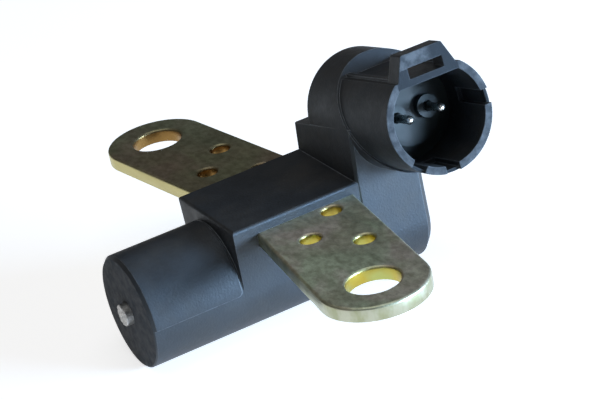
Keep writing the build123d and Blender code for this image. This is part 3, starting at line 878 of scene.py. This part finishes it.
class SENSOR_OT_pole(bpy.types.Operator):
    """Finish the steel pole piece and its seal ring"""
    bl_idname = "sensor.pole"
    bl_label = "Pole piece and seal"

    def execute(self, context):
        settings = context.scene.sensor_pole
        material = finish_metal("pole_steel", settings.steel, roughness=0.42, spot=0.5 * MM,
                                depth=0.12 * MM, shade=0.5)
        pole = new_object("pole", self.rough_pin(settings))
        settle(pole, "pole_piece", material)
        dress(finish_dull("seal_rubber", settings.rubber, roughness=0.7), "pole_seal_ring")
        return {"FINISHED"}

    def rough_pin(self, settings):
        """Headed pin turned about the sensing axis, its free end left rough from the saw."""
        low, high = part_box("pole_piece")
        middle = (low + high) / 2
        head, radius = (high.x - low.x) / 2, settings.pin / 2
        neck = high.y - settings.head
        section = [(radius * ring / POLE_FACE_RINGS, low.y) for ring in range(POLE_FACE_RINGS)]
        section += [(radius * share, low.y + back) for share, back in POLE_END]
        section += [(radius, neck), (head, neck), (head, high.y), (0, high.y)]
        mesh = bmesh.new()
        rings = []
        for wide, y in section:
            ring = []
            for step in range(POLE_STEPS if wide > 0 else 1):
                turn = 2 * math.pi * step / POLE_STEPS
                spot = Vector((middle.x + wide * math.cos(turn), y,
                               middle.z + wide * math.sin(turn)))
                if y < low.y + ROUGH_LENGTH:
                    self.roughen(spot, middle)
                ring.append(mesh.verts.new(spot))
            rings.append(ring)
        for first, second in zip(rings, rings[1:]):
            for step in range(POLE_STEPS):
                after = (step + 1) % POLE_STEPS
                corners = [first[step % len(first)], first[after % len(first)],
                           second[after % len(second)], second[step % len(second)]]
                mesh.faces.new(dict.fromkeys(corners))
        bmesh.ops.recalc_face_normals(mesh, faces=mesh.faces)
        made = bpy.data.meshes.new("rough_pin")
        mesh.to_mesh(made)
        mesh.free()
        made.shade_smooth()
        made.set_sharp_from_angle(angle=SHARP_ANGLE)
        return made

    def roughen(self, spot, middle):
        """Lowers a point of the sawn end by the fine marks and draws it in by the coarse ones."""
        spot.y += ROUGH_RISE * abs(noise.noise(spot * FINE_MARKS))
        pull = ROUGH_PULL * abs(noise.noise(spot * COARSE_MARKS + MARKS_OFFSET))
        spot.x += (middle.x - spot.x) * pull
        spot.z += (middle.z - spot.z) * pull


class SENSOR_OT_coil(bpy.types.Operator):
    """Finish the bobbin, its winding and tape, the magnet and its disc"""
    bl_idname = "sensor.coil"
    bl_label = "Coil and magnet"

    def execute(self, context):
        inner = context.scene.sensor_inner
        dress(finish_dull("bobbin_plastic", inner.bobbin, roughness=0.5), "coil_bobbin")
        dress(finish_winding(inner.copper, inner.wire), "coil_winding")
        dress(finish_dull("tape_plastic", inner.tape, roughness=0.35), "winding_tape")
        dress(finish_dull("magnet_grey", inner.magnet, roughness=0.45, metallic=0.8),
              "bar_magnet")
        dress(finish_metal("disc_steel", inner.disc, roughness=0.35), "flux_disc")
        return {"FINISHED"}


class SENSOR_OT_leads(bpy.types.Operator):
    """Finish the terminal posts, lead strips and solder joints"""
    bl_idname = "sensor.leads"
    bl_label = "Leads and joints"

    def execute(self, context):
        inner = context.scene.sensor_inner
        tin = context.scene.sensor_contacts.tin
        dress(finish_metal("post_tinned", tin, roughness=0.3),
              "terminal_post_front", "terminal_post_rear")
        dress(finish_metal("strip_brass", inner.brass, roughness=0.3, spot=1.5 * MM),
              "lead_strip_front", "lead_strip_rear")
        dress(finish_metal("solder_grey", inner.solder, roughness=0.4, spot=0.9 * MM),
              "post_solder_front", "post_solder_rear", "pin_solder_front", "pin_solder_rear")
        return {"FINISHED"}


class SENSOR_OT_studio(bpy.types.Operator):
    """Set up the pale floor, the soft light and the camera"""
    bl_idname = "sensor.studio"
    bl_label = "Studio"

    def execute(self, context):
        studio = context.scene.sensor_studio
        self.floor(studio)
        self.world(context.scene, studio)
        self.lamp("key_box", KEY_PLACE, KEY_SIZE, studio.key_power, studio.key_colour)
        self.lamp("top_box", FILL_PLACE, FILL_SIZE, studio.fill_power, WHITE)
        self.camera(context.scene, studio)
        return {"FINISHED"}

    def floor(self, studio):
        """Paper under the part, which glows only where it is seen or mirrored."""
        level = CAD_BOX[0].z
        corners = [(x * FLOOR_REACH, y * FLOOR_REACH, level)
                   for x, y in ((-1, -1), (1, -1), (1, 1), (-1, 1))]
        mesh = bpy.data.meshes.new("floor")
        mesh.from_pydata(corners, [], [(0, 1, 2, 3)])
        floor = new_object("floor", mesh)
        s = Shader("floor_paper", Roughness=FLOOR_ROUGHNESS,
                   Base_Color=rgba(studio.floor_colour), Emission_Color=rgba(WHITE))
        rays = s.node("ShaderNodeLightPath").outputs
        seen = s.math("MAXIMUM", rays["Is Camera Ray"], rays["Is Glossy Ray"])
        seen = s.math("MAXIMUM", seen, rays["Is Transmission Ray"])
        s.set("Emission Strength", s.product(seen, studio.floor_glow))
        mesh.materials.append(s.material)

    def world(self, scene, studio):
        """Room whose walls are paler near the horizon than above."""
        world = bpy.data.worlds.new("studio_room")
        world.use_nodes = True
        scene.world = world
        w = Nodes(world.node_tree)
        direction = w.out("ShaderNodeTexCoord", output="Generated")
        height = w.out("ShaderNodeSeparateXYZ", {0: direction}, "Z")
        light = w.out("ShaderNodeMapRange", {
            "Value": height, "From Min": 0.0, "From Max": HORIZON_TOP,
            "To Min": studio.horizon_light, "To Max": studio.room_light},
            interpolation_type="SMOOTHSTEP")
        background = w.tree.nodes["Background"]
        background.inputs["Color"].default_value = rgba(WHITE)
        w.tree.links.new(light, background.inputs["Strength"])

    def lamp(self, name, place, size, power, colour):
        """Soft box that faces the part."""
        light = bpy.data.lights.new(name, "AREA")
        light.shape = "RECTANGLE"
        light.size, light.size_y = size
        light.energy = power
        light.color = colour
        lamp = new_object(name, light)
        lamp.location = place
        lamp.rotation_euler = (-Vector(place)).to_track_quat("-Z", "Y").to_euler()

    def camera(self, scene, studio):
        """Camera of the photograph, which is turned about its own axis too."""
        azimuth, elevation, roll = map(
            math.radians, (CAMERA_AZIMUTH, CAMERA_ELEVATION, CAMERA_ROLL))
        right = Vector((math.cos(azimuth), math.sin(azimuth), 0))
        back = Vector((math.sin(azimuth) * math.cos(elevation),
                       -math.cos(azimuth) * math.cos(elevation), math.sin(elevation)))
        up = back.cross(right)
        across = right * math.cos(roll) - up * math.sin(roll)
        along = right * math.sin(roll) + up * math.cos(roll)
        camera = new_object("camera", bpy.data.cameras.new("camera"))
        camera.data.lens = studio.lens
        camera.data.sensor_width = SENSOR_WIDTH
        camera.data.clip_start, camera.data.clip_end = CAMERA_CLIP
        turned = Matrix((across, along, back)).transposed().to_4x4()
        camera.matrix_world = Matrix.Translation(CAMERA_PLACE) @ turned
        scene.camera = camera
        scene.view_settings.view_transform = "Standard"


class SENSOR_PT_sidebar(bpy.types.Panel):
    """The sensor's operators and settings"""
    bl_idname = "SENSOR_PT_sidebar"
    bl_label = "Crankshaft position sensor"
    bl_space_type = "VIEW_3D"
    bl_region_type = "UI"
    bl_category = "Sensor"

    def draw(self, context):
        for operator in OPERATORS:
            self.layout.operator(operator.bl_idname)
        for name in SETTINGS:
            group = getattr(context.scene, name)
            for key in group.bl_rna.properties.keys():
                if key not in {"rna_type", "name"}:
                    self.layout.prop(group, key)


OPERATORS = (
    SENSOR_OT_moulded_body,
    SENSOR_OT_bracket,
    SENSOR_OT_contacts,
    SENSOR_OT_pole,
    SENSOR_OT_coil,
    SENSOR_OT_leads,
    SENSOR_OT_studio,
)
SETTINGS = {
    "sensor_moulding": MouldingSettings,
    "sensor_bracket": BracketSettings,
    "sensor_contacts": ContactSettings,
    "sensor_pole": PoleSettings,
    "sensor_inner": InnerSettings,
    "sensor_studio": StudioSettings,
}


def register():
    for kind in (*SETTINGS.values(), *OPERATORS, SENSOR_PT_sidebar):
        bpy.utils.register_class(kind)
    for name, kind in SETTINGS.items():
        setattr(bpy.types.Scene, name, PointerProperty(type=kind))


def unregister():
    for name in SETTINGS:
        delattr(bpy.types.Scene, name)
    for kind in reversed((*SETTINGS.values(), *OPERATORS, SENSOR_PT_sidebar)):
        bpy.utils.unregister_class(kind)


def main():
    register()
    bpy.ops.sensor.moulded_body()
    bpy.ops.sensor.bracket()
    bpy.ops.sensor.contacts()
    bpy.ops.sensor.pole()
    bpy.ops.sensor.coil()
    bpy.ops.sensor.leads()
    bpy.ops.sensor.studio()


if __name__ == "__main__":
    main()
